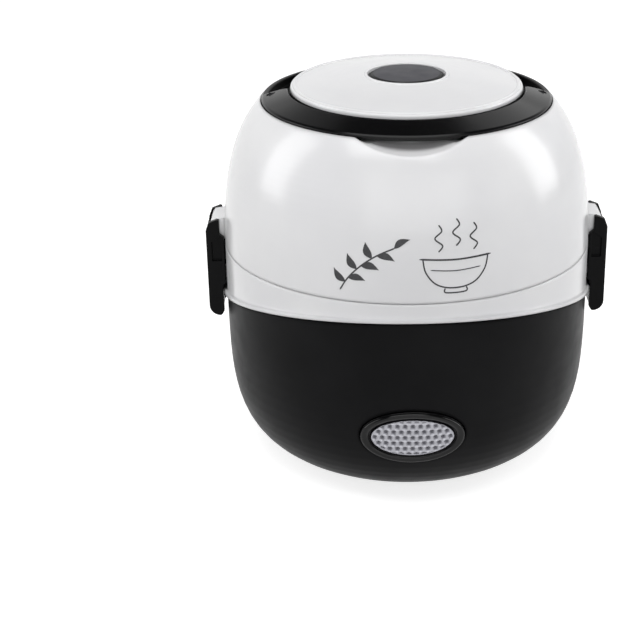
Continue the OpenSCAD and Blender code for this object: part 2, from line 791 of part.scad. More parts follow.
board_w = 62;
board_h = 12;
switch_h = 3.5;
switch_front = board_y + switch_h;

module switch_board() {
    color("#3f6b3a") difference() {
        block(-board_w / 2, board_w / 2, -board_y, -board_y + board_t,
            board_z - board_h / 2, board_z + board_h / 2);
        for (side = [-1, 1]) rod_y(side * post_x, board_z, -board_y - 1, -board_y + board_t + 1, 1.3);
    }
}

module push_switch() {
    color("#2d2d30") difference() {
        block(-3.1, 3.1, -switch_front, -board_y, board_z - 3.1, board_z + 3.1);
        rod_y(0, board_z, -switch_front - 1, -switch_front + 0.5 + button_travel + 0.5, stem_r + 0.4);
    }
}

module indicator_leds() {
    color("#d8d24a") for (x = [-lens_a / 2, lens_a / 2]) {
        rod_y(x, board_z, -board_y - 2.6, -board_y, 1.5);
        translate([x, -board_y - 2.6, board_z]) sphere(r = 1.5);
    }
}

module board_screws() {
    back = -board_y + board_t;
    color("#d0d0d2") for (side = [-1, 1]) {
        rod_y(side * post_x, board_z, back, back + 1.4, 2.2);
        rod_y(side * post_x, board_z, -board_y - post_hole_d + 0.5, back + eps, post_hole_r);
    }
}

// ------------------------------------------------- bowl, inner lid, cup

rim_top = bowl_z + bowl_h;

module steel_bowl() {
    out = bowl_r + bowl_rim;
    color("#b9babd") spin(concat(
        [[0, bowl_z]],
        arc(corner_r, corner_z, bowl_corner, -90, 0),
        [[bowl_r, rim_top - 3.2], [bowl_r + 1.2, rim_top - 1.9]],
        arc(out - 0.9, rim_top - 0.9, 0.9, -90, 90, 6),
        [[bowl_r + 0.6, rim_top - 0.4], [bowl_r - bowl_t, rim_top - 2.2]],
        arc(corner_r, corner_z, bowl_corner - bowl_t, 0, -90),
        [[0, bowl_z + bowl_t]]));
}

cup_z = bowl_z + bowl_t + rest_gap;

module measuring_cup() {
    n = 10;
    side_r = function (h) cup_base_r + (cup_top_r - cup_base_r) * pow(h / cup_h, 0.55);
    hs = [for (i = [0:n]) cup_h * pow(i / n, 2)];
    color("#e9eef0") spin(concat(
        [[0, cup_z]],
        [for (h = hs) [side_r(h), cup_z + h]],
        arc(cup_top_r + cup_bead / 2, cup_z + cup_h, cup_bead, -90, 180, 8),
        [for (h = reversed(hs)) if (h > cup_t) [side_r(h) - cup_t, cup_z + h]],
        [[side_r(cup_t) - cup_t, cup_z + cup_t], [0, cup_z + cup_t]]));
}

module bowl_lid() {
    base = rim_top + 0.3;                   // underside of the flange
    t = inner_lid_t;
    plug_r = bowl_r - bowl_t - 0.8;
    knob_r = 31;
    dish_r = 20;
    shelf_r = 55;
    shelf = base + 4.5;
    top = base + knob_h;
    color("#eceff0") spin([
        [0, top - 4], [dish_r - 2, top - 4], [dish_r, top - t], [knob_r - 3, top - t],
        [knob_r - t, top - 3], [knob_r - t, shelf], [shelf_r - t, shelf], [shelf_r, base],
        [plug_r - 1.5, base], [plug_r - 1.5, base - 5], [plug_r, base - 5], [plug_r, base],
        [inner_lid_r, base], [inner_lid_r, base + t * 0.7], [plug_r - 2, base + t],
        [shelf_r + t, base + t], [shelf_r, shelf + t], [knob_r, shelf + t], [knob_r, top - 2],
        [knob_r - 2, top], [dish_r, top], [dish_r - 2, top - 4 + t], [0, top - 4 + t]]);
}

// ------------------------------------------------------------------ lid

rim_z = lid_z(recess_r);                    // top edge of the lid casing
deck_z = rim_z - recess_d;
lid_foot = parting_z + parting_gap / 2;
floor_z = deck_z + ring_floor_t;            // top of the black ring's floor
edge_z = rim_z + centre_edge_up;
skirt_z = edge_z - 1.8;                     // foot of the centre disc's skirt
ring_in = centre_r + 0.4 - ring_wall_t;
hinge_x = body_r + hinge_out;
hinge_z = parting_z + hinge_up;
inside_w = clip_w - 2 * cheek_t;            // space between a clip's cheeks
pin_skin = 1;                               // cheek left outside each pin hole

// The finger scoop's ball, grown by extra, outside the radius inner
scoop_in = ring_in + ring_wall_t + 1.2;
module scoop(extra, inner) {
    difference() {
        translate([0, -recess_r - scoop_out, rim_z - scoop_d + scoop_ball_r])
            sphere(r = scoop_ball_r + extra, $fn = 144);
        cylinder(h = 3 * far, r = inner);
    }
}
// The part of the dish that lies in the recess, flush with the black ring's floor
module scoop_dish() {
    intersection() {
        scoop(scoop_wall, scoop_in);
        translate([0, 0, deck_z - 1]) cylinder(h = ring_floor_t + 1, r = recess_r + 1);
    }
}

module clip_lug() {
    ear = clip_pin_r + 0.75;
    difference() {
        along_y(inside_w - 2 * lug_gap) union() {
            polygon([[body_r - 2, lid_foot + 1], [body_r + 0.6, lid_foot + 1.6],
                [hinge_x - 0.6, hinge_z - ear], [hinge_x, hinge_z - ear],
                [hinge_x + ear, hinge_z + 0.4], [hinge_x + 0.6, hinge_z + lug_h - 0.4],
                [hinge_x - 1, hinge_z + lug_h], [body_r - 1, hinge_z + lug_h + 0.5],
                [body_r - 3, hinge_z + lug_h + 0.5]]);
            translate([hinge_x, hinge_z]) circle(r = ear);
        }
        clip_pin_rod(clip_w, clip_pin_r);
    }
}
// A rod along the right clip's hinge
module clip_pin_rod(l, r) {
    translate([hinge_x, 0, hinge_z]) rotate([90, 0, 0]) cylinder(h = l, r = r, center = true);
}

module lid_shell() {
    color(white) difference() {
        union() {
            spin(concat(
                lid_line(lid_foot, rim_z),
                [[recess_r, deck_z], [deck_hole_r, deck_z], [deck_hole_r, deck_z - lid_wall]],
                reversed(lid_line(lid_foot, deck_z - lid_wall, lid_wall, lid_wall))));
            for (side = [0, 1]) mirror([side, 0, 0]) clip_lug();
            scoop_dish();
        }
        scoop(0, scoop_in + scoop_wall);
    }
}

liner_gap = 3;
liner_t = 1.5;
liner_foot = lid_foot + 0.5;
liner_drop = 9;                             // space between deck and liner
liner_top = deck_z - lid_wall - liner_drop;
liner_hole_at = 24;

module lid_liner() {
    out = lid_wall + liner_gap;
    inn = out + liner_t;
    rim = outer_r(liner_foot + lid_wall) - lid_wall - 0.3;
    steam_r = 6;
    shoulder = liner_top - 5;
    color("#dcdee0") difference() {
        spin(concat(
            [[rim, liner_foot], [rim, liner_foot + liner_t]],
            lid_line(liner_foot + liner_t, shoulder, out, out),
            [[outer_r(liner_top + out) - out - 6, liner_top],
             [steam_r, liner_top], [steam_r, liner_top - liner_t],
             [outer_r(liner_top + out) - out - 6.6, liner_top - liner_t]],
            reversed(lid_line(liner_foot, shoulder, inn, inn))));
        for (a = [0:60:300]) rotate(a) translate([liner_hole_at, 0, liner_top - 2 * liner_t])
            cylinder(h = 4 * liner_t, r = liner_hole_at / 12);
    }
}

module lid_seal() {
    low = flange_z + 0.3;
    out = outer_r(liner_foot + lid_wall) - lid_wall - 0.9;
    color("#f0f0f0") spin([[out - 5.5, low + 0.4], [out - 3.5, low], [out, low],
        [out, liner_foot], [out - 5.5, liner_foot]]);
}

// Height of the centre disc's top at a radius
function crown_z(r) = edge_z + centre_crown * (1 - pow(r / centre_r, 2));

pocket_z = crown_z(vent_open_r) - vent_pocket_d;

module lid_centre() {
    n = 8;
    rs = [for (i = [0:n]) vent_open_r + 0.6 + (centre_r - 1 - vent_open_r - 0.6) * i / n];
    color(white) spin(concat(
        [[vent_open_r, crown_z(vent_open_r) - 0.5]],
        [for (r = rs) [r, crown_z(r)]],
        [[centre_r - 0.3, edge_z - 0.1], [centre_r, edge_z - 0.6], [centre_r, skirt_z],
         [centre_r - 2.2, skirt_z]],
        [for (r = reversed(rs)) if (r < centre_r - 3 && r > vent_open_r + 3)
            [r, crown_z(r) - centre_wall]],
        [[vent_open_r + 2, crown_z(vent_open_r) - centre_wall],
         [vent_open_r + 2, pocket_z - centre_wall],
         [vent_stem_r + 0.3, pocket_z - centre_wall], [vent_stem_r + 0.3, pocket_z],
         [vent_open_r, pocket_z]]));
}

module vent_cap() {
    r = vent_open_r - vent_gap;
    low = pocket_z + rest_gap;
    top = crown_z(0) + 0.3;
    color("#505056") spin([
        [0, low - vent_stem_l], [vent_stem_r - 0.6, low - vent_stem_l],
        [vent_stem_r, low - vent_stem_l + 0.8], [vent_stem_r, low], [r - 0.4, low],
        [r, low + 0.4], [r, top - 1], [r - 0.6, top - 0.4], [r / 2, top - 0.1], [0, top]]);
}

pin_z = floor_z + handle_lift + handle_end_r;
boss_in = 4;

module ring_pin_boss() {
    block(ring_in - boss_in, ring_in + 1, -handle_pivot_y - 3.4, -handle_pivot_y + 3.4,
        floor_z - eps, skirt_z);
}

module handle_ring() {
    rim_r = recess_r - 0.6;
    split = -handle_pivot_y + handle_end_r + 0.5;
    color("#161618") difference() {
        union() {
            spin([[ring_in - boss_in, deck_z], [recess_r - 0.3, deck_z], [recess_r - 0.3, floor_z],
                [ring_in + ring_wall_t, floor_z], [ring_in + ring_wall_t, skirt_z],
                [ring_in, skirt_z], [ring_in, floor_z], [ring_in - boss_in, floor_z]]);
            intersection() {
                spin([[rim_r - ring_rim_w, floor_z - eps], [rim_r, floor_z - eps],
                    [rim_r, rim_z + ring_rim_up - 0.5], [rim_r - 0.5, rim_z + ring_rim_up],
                    [rim_r - ring_rim_w + 0.4, rim_z + ring_rim_up],
                    [rim_r - ring_rim_w, rim_z + ring_rim_up - 0.4]]);
                block(-far, far, split, far, deck_z, rim_z + far);
            }
            for (side = [0, 1]) mirror([side, 0, 0]) ring_pin_boss();
        }
        pin_bores(handle_pin_r);
        scoop(scoop_wall + 0.3, scoop_in - 0.3);
    }
}

module pin_bores(r) {
    translate([0, -handle_pivot_y, pin_z]) rotate([0, 90, 0])
        cylinder(h = 2 * handle_r - 5, r = r, center = true);
}

module handle_pins() {
    color(silver) for (side = [0, 1]) mirror([side, 0, 0])
        translate([ring_in - boss_in, -handle_pivot_y, pin_z]) rotate([0, 90, 0])
            cylinder(h = handle_r - 3.5 - ring_in + boss_in, r = handle_pin_r);
}

module carry_handle() {
    in_r = centre_r + 0.4 + handle_gap;
    low = floor_z + handle_lift;
    edge = rim_z;
    color("#101012") difference() {
        intersection() {
            spin([[in_r, low], [handle_r - 2.4, low], [handle_r, edge],
                [handle_r, edge + handle_edge_h], [handle_r - 0.8, edge + handle_edge_h + 0.7],
                [in_r + 0.8, pin_z + handle_end_r], [in_r, pin_z + handle_end_r - 0.5]]);
            union() {
                block(-far, far, -far, -handle_pivot_y, deck_z, rim_z + far);
                translate([0, -handle_pivot_y, pin_z]) rotate([0, 90, 0])
                    cylinder(h = 2 * far, r = handle_end_r, center = true);
            }
        }
        pin_bores(handle_pin_r + pin_clearance);
    }
}

// ---------------------------------------------------------------- clips

module clip_pins() {
    color(silver) for (side = [0, 1]) mirror([side, 0, 0])
        clip_pin_rod(clip_w - 2 * pin_skin - 0.6, clip_pin_r);
}

module clip() {
    wall_in = sqrt(body_r * body_r - pow(inside_w / 2, 2)) + cheek_gap;
    lip_in = sqrt(pow(body_r + lip_out, 2) - pow(inside_w / 2, 2)) + cheek_gap;
    out = body_r + clip_stand;
    foot = hinge_z - clip_drop;
    top = hinge_z + clip_head_h;
    neck = hinge_x - 2.4;
    corner = 5;
    tab_in = body_r + catch_out + 0.5;      // the finger tab passes outside the catch
    pocket_d = 0.7 * cheek_t;               // hollow in the outside of each cheek
    pocket_foot = catch_z + 10;
    hook_tip = body_r + catch_out - hook_bite;
    hook_top = catch_z - hook_gap;
    color("#1b1b1d") difference() {
        union() {
            difference() {
                along_y(clip_w) polygon(concat(
                    [[lip_in, foot + 2], [lip_in + 1, foot + 0.4]],
                    arc(out - corner, foot + corner, corner, -90, 0, 6),
                    [[out, hinge_z - 2.5], [out - 1.4, hinge_z + 1.1], [neck + 1, top],
                     [neck, top - 0.3], [neck, hinge_z - 4.5], [wall_in, hinge_z - 6],
                     [wall_in, catch_z - 1], [lip_in, catch_z - 2]]));
                block(0, out - clip_plate_t, -inside_w / 2, inside_w / 2, foot + clip_tab_h, far * 2);
                block(0, tab_in, -inside_w / 2, inside_w / 2, foot - 1, far * 2);
                block(0, far * 2, -inside_w / 2, inside_w / 2, hinge_z - 3, far * 2);
                for (side = [-1, 1]) translate([0, side * clip_w / 2, 0]) along_y(2 * pocket_d)
                    polygon([[wall_in + 1.2, pocket_foot], [out - 2.4, pocket_foot],
                        [out - 2.4, hinge_z - 8], [wall_in + 1.2, hinge_z - 5]]);
            }
            along_y(inside_w + 1) polygon([[hook_tip, hook_top], [out - 0.6, hook_top],
                [out - 0.6, hook_top - 4.5], [hook_tip + 2, hook_top - 2.3], [hook_tip, hook_top - 1.2]]);
        }
        clip_pin_rod(clip_w - 2 * pin_skin, clip_pin_r + pin_clearance);
    }
}

module clip_right() { clip(); }
module clip_left() { mirror([1, 0, 0]) clip(); }

base_shell();
base_collar();
heating_well();
well_gasket();
heat_spreader();
heating_element();
element_bracket();
bracket_screws();
thermostat();
thermal_fuse();
fuse_clip();
bottom_cover();
cover_screws();
rubber_feet();
inlet_body();
inlet_blades();
internal_wiring();
button_bezel();
button_lens();
switch_board();
push_switch();
indicator_leds();
board_screws();
steel_bowl();
measuring_cup();
bowl_lid();
lid_shell();
lid_liner();
lid_seal();
lid_centre();
handle_ring();
handle_pins();
clip_pins();
carry_handle();
vent_cap();
clip_left();
clip_right();
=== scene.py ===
"""Dresses the electric lunch box: finishes for every moulded, spun and stamped piece, the
dimpled button lens, the bowl and sprig printed on the lid, and a plain studio."""

import math

import bpy
import numpy as np
from bpy.props import FloatProperty, FloatVectorProperty, PointerProperty
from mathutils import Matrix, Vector


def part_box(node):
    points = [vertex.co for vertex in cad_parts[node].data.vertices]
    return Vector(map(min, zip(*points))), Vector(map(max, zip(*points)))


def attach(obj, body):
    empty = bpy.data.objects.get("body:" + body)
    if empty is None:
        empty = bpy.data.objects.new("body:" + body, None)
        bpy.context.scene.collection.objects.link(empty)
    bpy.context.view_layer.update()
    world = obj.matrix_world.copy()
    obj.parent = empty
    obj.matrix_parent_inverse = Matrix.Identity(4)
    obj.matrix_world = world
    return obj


bl_info = {
    "name": "Electric Lunch Box",
    "version": (1, 0, 0),
    "blender": (4, 5, 0),
    "location": "View3D > Sidebar > Lunch Box",
    "description": "Finishes, button lens, lid print and studio for an electric lunch box",
    "category": "Object",
}

MM = 0.001
WHITE = (1.0, 1.0, 1.0, 1.0)
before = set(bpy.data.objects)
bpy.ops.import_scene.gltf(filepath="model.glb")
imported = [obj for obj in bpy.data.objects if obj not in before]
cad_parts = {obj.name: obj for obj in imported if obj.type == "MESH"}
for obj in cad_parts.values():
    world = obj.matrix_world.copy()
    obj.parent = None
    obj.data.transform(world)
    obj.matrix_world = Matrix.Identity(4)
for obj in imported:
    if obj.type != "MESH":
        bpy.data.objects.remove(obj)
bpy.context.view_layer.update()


# ------------------------------------------------------------------ casing outline, in metres

BODY_R = 84.1 * MM  # largest radius of the casing
BELLY_Z = 92.5 * MM  # height of that radius
# from there the radius shrinks to nothing at the reach, upwards and downwards; the bend says
# how late it starts to, and the round how full the shoulder is
LID_REACH, LID_BEND, LID_ROUND = 91.9 * MM, 2.88, 3.36
BASE_REACH, BASE_BEND, BASE_ROUND = 93.5 * MM, 4.87, 4.04

DISC_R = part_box("lid_centre")[1].x
DISC_EDGE_Z = 174.32 * MM
DISC_CROWN = 4.7 * MM  # rise of the centre disc from its edge to the axis
VENT_R = 17.5 * MM  # hole in the disc, in which the vent cap sits
CAP_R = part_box("vent_cap")[1].x

FLANGE = 2.0 * MM  # lens and bezel each reach this far beyond what shows of them


def casing_radius(z):
    """Outer radius of the casing at a height."""
    if z >= BELLY_Z:
        share = (z - BELLY_Z) / LID_REACH
        return BODY_R * max(0.0, 1 - share**LID_BEND) ** (1 / LID_ROUND)
    share = (BELLY_Z - z) / BASE_REACH
    return BODY_R * max(0.0, 1 - share**BASE_BEND) ** (1 / BASE_ROUND)


def crown_height(radius):
    """Height of the lid's centre disc at a distance from the axis."""
    return DISC_EDGE_Z + DISC_CROWN * (1 - (radius / DISC_R) ** 2)


def on_casing(along, z, proud):
    """The point that lies along round the front, z up, and proud off the casing."""
    step = 0.05 * MM
    slope = (casing_radius(z + step) - casing_radius(z - step)) / (2 * step)
    lean = math.hypot(1, slope)
    radius = casing_radius(z)
    turn = along / radius
    out = radius + proud / lean
    return Vector((out * math.sin(turn), -out * math.cos(turn), z - proud * slope / lean))


def oval_seen(node, inset):
    """Half width and half height of an oval front piece, inset from the edge that shows."""
    low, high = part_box(node)
    return (high.x - low.x) / 2 - FLANGE - inset, (high.z - low.z) / 2 - FLANGE - inset


LENS_HALF_WIDTH, LENS_HALF_HEIGHT = oval_seen("button_lens", 0.05 * MM)
BEZEL_HALF_WIDTH, BEZEL_HALF_HEIGHT = oval_seen("button_bezel", 0.35 * MM)
LENS_Z = sum(corner.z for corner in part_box("button_lens")) / 2


# ------------------------------------------------------------------ materials


def linear(colour):
    """An sRGB hex value as linear red, green, blue and alpha; a picked colour is that already."""
    if not isinstance(colour, str):
        return tuple(colour)
    parts = [int(colour.lstrip("#")[i : i + 2], 16) / 255 for i in (0, 2, 4)]
    return (*[c / 12.92 if c <= 0.04045 else ((c + 0.055) / 1.055) ** 2.4 for c in parts], 1.0)


def add_node(tree, kind, links=None, sockets=None, **settings):
    """Adds a node: links are sources by socket, sockets fixed values, settings its own options."""
    made = tree.nodes.new("ShaderNode" + kind)
    for name, value in settings.items():
        setattr(made, name, value)
    for name, value in (sockets or {}).items():
        made.inputs[name].default_value = value
    for name, source in (links or {}).items():
        tree.links.new(source, made.inputs[name])
    return made


def start_material(name, colour, roughness, **sockets):
    """A fresh material with its surface shader, and the object's own coordinates in metres."""
    material = bpy.data.materials.new(name)
    material.use_nodes = True
    tree = material.node_tree
    tree.nodes.clear()
    fixed = {"Base Color": linear(colour), "Roughness": roughness}
    fixed.update({key.replace("_", " "): value for key, value in sockets.items()})
    surface = add_node(tree, "BsdfPrincipled", sockets=fixed)
    out = add_node(tree, "OutputMaterial", links={"Surface": surface.outputs["BSDF"]})
    out.name = "Output"
    place = add_node(tree, "TexCoord").outputs["Object"]
    return material, tree, surface, place


def per_metre(size_mm):
    """Texture scale at which one feature is about size_mm across."""
    return 1 / (size_mm * MM)


def mottle(tree, surface, place, colour, darker, size_mm):
    """Clouds of a slightly darker colour, about size_mm across."""
    cloud = add_node(
        tree, "TexNoise", {"Vector": place}, {"Scale": per_metre(size_mm), "Detail": 3.0}
    )
    ramp = add_node(tree, "ValToRGB", {"Fac": cloud.outputs["Fac"]})
    # noise keeps to the middle of its range, so both colours are reached inside it
    low, high = ramp.color_ramp.elements
    low.position, low.color = 0.35, linear(darker)
    high.position, high.color = 0.65, linear(colour)
    tree.links.new(ramp.outputs["Color"], surface.inputs["Base Color"])


def uneven_gloss(tree, surface, place, size_mm, low, high):
    """Roughness that wanders between low and high over about size_mm."""
    seldom_below, seldom_above = 0.3, 0.7  # of the noise
    wander = add_node(
        tree, "TexNoise", {"Vector": place}, {"Scale": per_metre(size_mm), "Detail": 4.0}
    )
    span = add_node(
        tree,
        "MapRange",
        {"Value": wander.outputs["Fac"]},
        {"From Min": seldom_below, "From Max": seldom_above, "To Min": low, "To Max": high},
    )
    tree.links.new(span.outputs["Result"], surface.inputs["Roughness"])


def grain(tree, surface, place, size_mm, depth_mm, detail=2.0, edge_mm=0.0):
    """Fine relief of a size and depth; light meets sharp edges as if rounded by edge_mm."""
    bumps = add_node(
        tree, "TexNoise", {"Vector": place}, {"Scale": per_metre(size_mm), "Detail": detail}
    )
    links = {"Height": bumps.outputs["Fac"]}
    if edge_mm:
        rounded = add_node(tree, "Bevel", sockets={"Radius": edge_mm * MM}, samples=6)
        links["Normal"] = rounded.outputs["Normal"]
    relief = add_node(tree, "Bump", links, {"Strength": 1.0, "Distance": depth_mm * MM})
    tree.links.new(relief.outputs["Normal"], surface.inputs["Normal"])


def tool_rings(tree, surface, reach, pitch_mm, depth_mm, strength, detail):
    """Relief in fine rings about pitch_mm apart, counted along reach, a distance in metres."""
    rings = add_node(
        tree,
        "TexNoise",
        {"W": reach},
        {"Scale": per_metre(pitch_mm), "Detail": detail},
        noise_dimensions="1D",
    )
    relief = add_node(
        tree,
        "Bump",
        {"Height": rings.outputs["Fac"]},
        {"Strength": strength, "Distance": depth_mm * MM},
    )
    tree.links.new(relief.outputs["Normal"], surface.inputs["Normal"])


def from_axis(tree, place):
    """Distance from the upright axis, in metres."""
    flat = add_node(tree, "VectorMath", {0: place}, {1: (1.0, 1.0, 0.0)}, operation="MULTIPLY")
    away = add_node(tree, "VectorMath", {0: flat.outputs["Vector"]}, operation="LENGTH")
    return away.outputs["Value"]


def gloss_abs(name, colour, darker, low, high, shine=0.5, edge_mm=0.5):
    """ABS from a polished mould: hard gloss, broad reflections and a faint orange peel."""
    material, tree, surface, place = start_material(
        name, colour, low, IOR=1.53, Specular_IOR_Level=shine
    )
    mottle(tree, surface, place, colour, darker, size_mm=45)
    uneven_gloss(tree, surface, place, size_mm=18, low=low, high=high)
    # orange peel waves are 4 mm long and a few microns deep
    grain(tree, surface, place, size_mm=4, depth_mm=0.006, detail=1.0, edge_mm=edge_mm)
    return material


def grained_moulding(name, colour, darker, low, high, grit_mm=0.5, shine=0.5, edge_mm=0.3):
    """Pressed or moulded in a spark-eroded tool: fine grit spreads reflections into soft bands."""
    material, tree, surface, place = start_material(
        name, colour, low, IOR=1.5, Specular_IOR_Level=shine
    )
    mottle(tree, surface, place, colour, darker, size_mm=30)
    uneven_gloss(tree, surface, place, size_mm=9, low=low, high=high)
    # real grit is 0.05 mm; it is drawn at least ten times coarser so that it shows
    grain(tree, surface, place, size_mm=grit_mm, depth_mm=0.008, edge_mm=edge_mm)
    return material


def paint_rim_shade(material, colour, start, end):
    """Fades a material to another colour between two distances from the upright axis, to paint
    shade at a rim.
    """
    tree = material.node_tree
    surface = tree.nodes["Principled BSDF"]
    before = surface.inputs["Base Color"].links[0].from_socket
    away = from_axis(tree, add_node(tree, "TexCoord").outputs["Object"])
    share = add_node(tree, "MapRange", {"Value": away}, {"From Min": start, "From Max": end})
    mixed = add_node(
        tree,
        "MixRGB",
        {"Fac": share.outputs["Result"], "Color1": before},
        {"Color2": linear(colour)},
    )
    tree.links.new(mixed.outputs["Color"], surface.inputs["Base Color"])


def polished_steel():
    """Deep-drawn 304 stainless steel, lap polished: mirror-like with fine rings up its wall."""
    material, tree, surface, place = start_material("polished_steel", "#B5B4B2", 0.14, Metallic=1.0)
    uneven_gloss(tree, surface, place, size_mm=12, low=0.10, high=0.2)
    height = add_node(tree, "SeparateXYZ", {"Vector": place}).outputs["Z"]
    # the lap leaves rings 0.6 mm apart that are too shallow to feel
    tool_rings(tree, surface, height, pitch_mm=0.6, depth_mm=0.004, strength=0.5, detail=3.0)
    return material


def spun_metal(name, colour, low, high, ring_mm):
    """Sheet spun or turned on a lathe: satin, with fine rings round the middle."""
    material, tree, surface, place = start_material(name, colour, low, Metallic=1.0)
    uneven_gloss(tree, surface, place, size_mm=15, low=low, high=high)
    away = from_axis(tree, place)
    tool_rings(tree, surface, away, pitch_mm=ring_mm, depth_mm=0.01, strength=0.6, detail=2.0)
    return material


def plated_metal(name, colour, darker, low, high):
    """Metal under a thin plating or oxide: dull shine with small cloudy spangles."""
    material, tree, surface, place = start_material(name, colour, low, Metallic=1.0)
    mottle(tree, surface, place, colour, darker, size_mm=2.5)
    uneven_gloss(tree, surface, place, size_mm=3, low=low, high=high)
    grain(tree, surface, place, size_mm=0.8, depth_mm=0.01, edge_mm=0.15)
    return material


def clear_moulding(name, colour, roughness, depth_mm, transmission):
    """Clear or frosted plastic: light passes through, and thick edges show milky."""
    milky = "#DDE3E6"
    material, tree, surface, place = start_material(
        name, colour, roughness, IOR=1.49, Transmission_Weight=transmission
    )
    mottle(tree, surface, place, colour, milky, size_mm=35)
    grain(tree, surface, place, size_mm=5, depth_mm=depth_mm, detail=1.0)
    return material


def silicone_rubber(name, colour, darker):
    """Compression-moulded rubber: soft, even and slightly dusty."""
    material, tree, surface, place = start_material(name, colour, 0.55, IOR=1.41, Sheen_Weight=0.2)
    mottle(tree, surface, place, colour, darker, size_mm=12)
    grain(tree, surface, place, size_mm=0.8, depth_mm=0.012)
    return material


def lens_silver(colour, dimple_shade):
    """Polycarbonate with a metallised face: bright mesh, with painted shade at the bottom of each
    dimple.
    """
    material, tree, surface, place = start_material("metallised_lens_dimple_shade", colour, 0.2, Metallic=0.7)
    height = add_node(tree, "Attribute", attribute_name="mesh_height")
    ramp = add_node(tree, "ValToRGB", {"Fac": height.outputs["Fac"]})
    # heights are shares of the mesh's own: painted shade up to a tenth, silver from seven tenths on
    low, high = ramp.color_ramp.elements
    low.position, low.color = 0.1, linear(dimple_shade)
    high.position, high.color = 0.7, linear(colour)
    tree.links.new(ramp.outputs["Color"], surface.inputs["Base Color"])
    grain(tree, surface, place, size_mm=0.7, depth_mm=0.01)
    return material


def pad_ink(colour):
    """Pad-printed ink: flat, slightly thinner in places, so it never looks like a sticker."""
    thin = "#2C2C30"
    material, tree, surface, place = start_material("pad_printed_ink", colour, 0.45)
    mottle(tree, surface, place, colour, thin, size_mm=1.2)
    grain(tree, surface, place, size_mm=0.6, depth_mm=0.004)
    return material


def circuit_laminate():
    """Glass-fibre laminate under green solder mask, with copper tracks showing lighter."""
    mask, mask_thin, track = "#2F6B35", "#2B6331", "#4C8A4A"
    material, tree, surface, place = start_material("solder_masked_board", mask, 0.3, IOR=1.5)
    # at this scale the tracks lie 3.5 mm apart, with a link every 7 mm
    tracks = add_node(
        tree,
        "TexBrick",
        {"Vector": place},
        {
            "Scale": per_metre(14),
            "Brick Width": 7 / 14,
            "Row Height": 3.5 / 14,
            "Mortar Size": 0.06,
            "Color1": linear(mask_thin),
            "Color2": linear(mask),
            "Mortar": linear(track),
        },
    )
    tree.links.new(tracks.outputs["Color"], surface.inputs["Base Color"])
    grain(tree, surface, place, size_mm=0.5, depth_mm=0.01)
    return material


def seen_directly(tree):
    """1 where the camera looks straight, by reflection or through glass, and 0 for other light."""
    path = add_node(tree, "LightPath")
    mirrored = add_node(
        tree,
        "Math",
        {0: path.outputs["Is Glossy Ray"], 1: path.outputs["Is Transmission Ray"]},
        operation="MAXIMUM",
    )
    seen = add_node(
        tree,
        "Math",
        {0: path.outputs["Is Camera Ray"], 1: mirrored.outputs[0]},
        operation="MAXIMUM",
    )
    return seen.outputs[0]


def dress(material, *names):
    """Gives CAD nodes one material."""
    for name in names:
        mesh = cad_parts[name].data
        mesh.materials.clear()
        mesh.materials.append(material)


# ------------------------------------------------------------------ mesh helpers


def make_piece(name, points, faces, material, body, smooth=True):
    """A new mesh piece, in metres, that rides on a body."""
    mesh = bpy.data.meshes.new(name)
    mesh.from_pydata([tuple(p) for p in points], [], faces)
    mesh.validate()
    piece = bpy.data.objects.new(name, mesh)
    bpy.context.scene.collection.objects.link(piece)
    mesh.materials.append(material)
    if smooth:
        mesh.shade_smooth()
    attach(piece, body)
    return piece


def ring_faces(around, rows):
    """Faces of a closed ring: around is its number of sections, each a loop of rows points."""
    faces = []
    for step in range(around):
        at, beside = step * rows, (step + 1) % around * rows
        for k in range(rows):
            ahead = (k + 1) % rows
            faces.append((at + k, at + ahead, beside + ahead, beside + k))
    return faces


def lay_rib(name, inner, outer, sunk, height, material, body):
    """A rounded rib round the axis between two radii, its foot sunk below the lid's disc."""
    around, across = 180, 10
    root = 0.3 * MM  # its sides go on down by this, so that no gap shows
    section = []
    for step in range(across + 1):
        turn = math.pi * step / across
        radius = (inner + outer) / 2 - (outer - inner) / 2 * math.cos(turn)
        section.append((radius, crown_height(radius) - sunk + height * math.sin(turn)))
    first, last = section[0], section[-1]
    section = [(first[0], first[1] - root), *section, (last[0], last[1] - root)]
    points = []
    for step in range(around):
        turn = math.tau * step / around
        points += [(r * math.cos(turn), r * math.sin(turn), z) for r, z in section]
    make_piece(name, points, ring_faces(around, len(section)), material, body)


def through(points, steps=8):
    """A smooth line through flat points, by Catmull and Rom's rule."""
    known = [np.array(point, float) for point in (points[0], *points, points[-1])]
    line = []
    for a, b, c, d in zip(known, known[1:], known[2:], known[3:]):
        for step in range(steps):
            t = step / steps
            line.append(
                b
                + (c - a) * t / 2
                + (2 * a - 5 * b + 4 * c - d) * t * t / 2
                + (3 * b - a - 3 * c + d) * t**3 / 2
            )
    line.append(known[-1])
    return line


